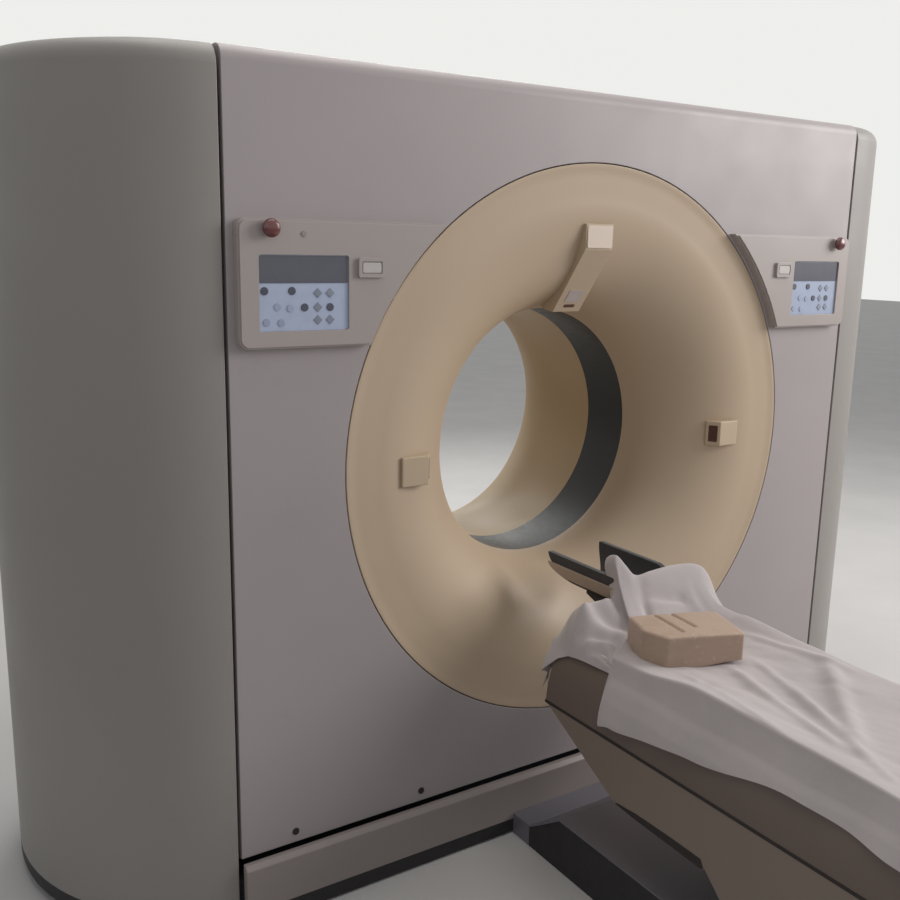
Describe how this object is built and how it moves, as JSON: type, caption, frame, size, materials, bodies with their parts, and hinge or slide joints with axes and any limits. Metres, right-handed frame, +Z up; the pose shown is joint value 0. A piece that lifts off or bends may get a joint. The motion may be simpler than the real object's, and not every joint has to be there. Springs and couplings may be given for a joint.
{
  "type": "ct scanner",
  "caption": "CT scanner: tilting gantry with a cream funnel around its bore on fixed side columns, control panels, and a low lift table with a sliding cradle, head holder, sheet and pad.",
  "frame": {"origin": "on the floor under the isocentre, at the centre of the gantry's floor anchors", "axes": "+X to the right seen from the table, +Y from the table into the bore, +Z up"},
  "size_m": [2.768, 3.332, 1.93],
  "materials": {
    "structure_paint": "satin",
    "machined_steel": "machined",
    "gantry_shell": "satin moulded, light lilac grey",
    "dark_kick": "matte",
    "motor_paint": "satin",
    "floor_trim": "satin",
    "lift_aluminium": "anodised",
    "shroud_plastic": "matte",
    "funnel_cream": "satin moulded, warm cream",
    "laser_housing": "satin",
    "window_film": "gloss",
    "brush_plastic": "matte",
    "belt_rubber": "matte",
    "panel_plastic": "satin",
    "keypad_film": "satin membrane",
    "stop_red": "gloss",
    "slip_brass": "polished tracks",
    "tube_paint": "satin",
    "collimator_steel": "machined",
    "tank_paint": "satin",
    "detector_paint": "satin",
    "table_lower": "satin moulded, warm grey",
    "table_upper": "satin, brown grey",
    "cradle_shell": "satin laminate",
    "holder_black": "matte foam lining",
    "sheet_fabric": "soft white cotton",
    "pad_foam": "coated foam, peach"
  },
  "bodies": {
    "fixed_base": {"gantry_base_frame": "structure_paint", "left_pedestal": "structure_paint", "right_pedestal": "structure_paint", "trunnion_bearings": "machined_steel", "left_side_cover": "gantry_shell", "right_side_cover": "gantry_shell", "toe_kicks": "dark_kick", "front_skirt": "gantry_shell", "rear_skirt": "gantry_shell", "tilt_gear_motor": "motor_paint", "floor_duct": "floor_trim", "table_base_plate": "structure_paint", "plinth_cover": "dark_kick", "plinth_top": "floor_trim", "lift_columns_outer": "structure_paint", "lift_shroud_fixed": "shroud_plastic"},
    "tilting_gantry": {"stator_frame": "structure_paint", "trunnion_shafts": "machined_steel", "tilt_sector_gear": "machined_steel", "front_cover": "gantry_shell", "top_cover": "gantry_shell", "bottom_cover": "gantry_shell", "rear_cover": "gantry_shell", "front_funnel": "funnel_cream", "scan_window": "window_film", "rear_funnel": "funnel_cream", "bearing_outer_ring": "machined_steel", "brush_block": "brush_plastic", "rotor_drive_motor": "motor_paint", "drive_belt": "belt_rubber", "left_control_panel": "panel_plastic", "right_control_panel": "panel_plastic", "left_display": "keypad_film", "right_display": "keypad_film", "top_laser_housing": "laser_housing", "side_laser_boxes": "laser_housing"},
    "rotor": {"rotor_drum": "lift_aluminium", "bearing_inner_ring": "machined_steel", "slip_ring": "slip_brass", "xray_tube": "tube_paint", "collimator": "collimator_steel", "high_voltage_tanks": "tank_paint", "detector_arc": "detector_paint", "tube_cooler": "tube_paint", "counterweights": "collimator_steel"},
    "motor_pulley": {"motor_pulley": "machined_steel"},
    "tilt_pinion": {"tilt_pinion": "machined_steel"},
    "left_stop_button": {"left_stop_button": "stop_red"},
    "right_stop_button": {"right_stop_button": "stop_red"},
    "lift_middle": {"lift_columns_middle": "lift_aluminium", "lift_shroud_middle": "shroud_plastic"},
    "table_top": {"lift_columns_inner": "lift_aluminium", "table_frame": "structure_paint", "table_lower_cover": "table_lower", "table_upper_cover": "table_upper", "cradle_rails": "machined_steel"},
    "cradle": {"cradle": "cradle_shell", "head_holder": "holder_black", "table_sheet": "sheet_fabric", "positioning_pad": "pad_foam"}
  },
  "joints": [
    {"name": "gantry_tilt", "type": "hinge", "parent": "fixed_base", "child": "tilting_gantry", "pos_m": [0, 0, 1.035], "axis": [-1, 0, 0], "range_deg": [-30, 12]},
    {"name": "pinion_spin", "type": "hinge", "parent": "fixed_base", "child": "tilt_pinion", "pos_m": [1.13, 0, 0.699], "axis": [-1, 0, 0], "range_deg": [-101, 251]},
    {"name": "rotor_spin", "type": "hinge", "parent": "tilting_gantry", "child": "rotor", "pos_m": [0, 0.125, 1.035], "axis": [0, 1, 0], "continuous": true},
    {"name": "pulley_spin", "type": "hinge", "parent": "tilting_gantry", "child": "motor_pulley", "pos_m": [0.8, 0.125, 0.435], "axis": [0, 1, 0], "continuous": true},
    {"name": "left_stop_press", "type": "slide", "parent": "tilting_gantry", "child": "left_stop_button", "axis": [0, 1, 0], "range_m": [0, 0.004], "stiffness_N_per_m": 600},
    {"name": "right_stop_press", "type": "slide", "parent": "tilting_gantry", "child": "right_stop_button", "axis": [0, 1, 0], "range_m": [0, 0.004], "stiffness_N_per_m": 600},
    {"name": "table_lift", "type": "slide", "parent": "fixed_base", "child": "table_top", "axis": [0, 0, 1], "range_m": [-0.03, 0.42]},
    {"name": "lift_middle_slide", "type": "slide", "parent": "fixed_base", "child": "lift_middle", "axis": [0, 0, 1], "range_m": [-0.015, 0.21]},
    {"name": "cradle_slide", "type": "slide", "parent": "table_top", "child": "cradle", "axis": [0, 1, 0], "range_m": [-0.02, 0.11]}
  ],
  "couplings": [
    {"joint": "pinion_spin", "follows": "gantry_tilt", "ratio": -8.3333},
    {"joint": "pulley_spin", "follows": "rotor_spin", "ratio": 13.067},
    {"joint": "lift_middle_slide", "follows": "table_lift", "ratio": 0.5}
  ]
}
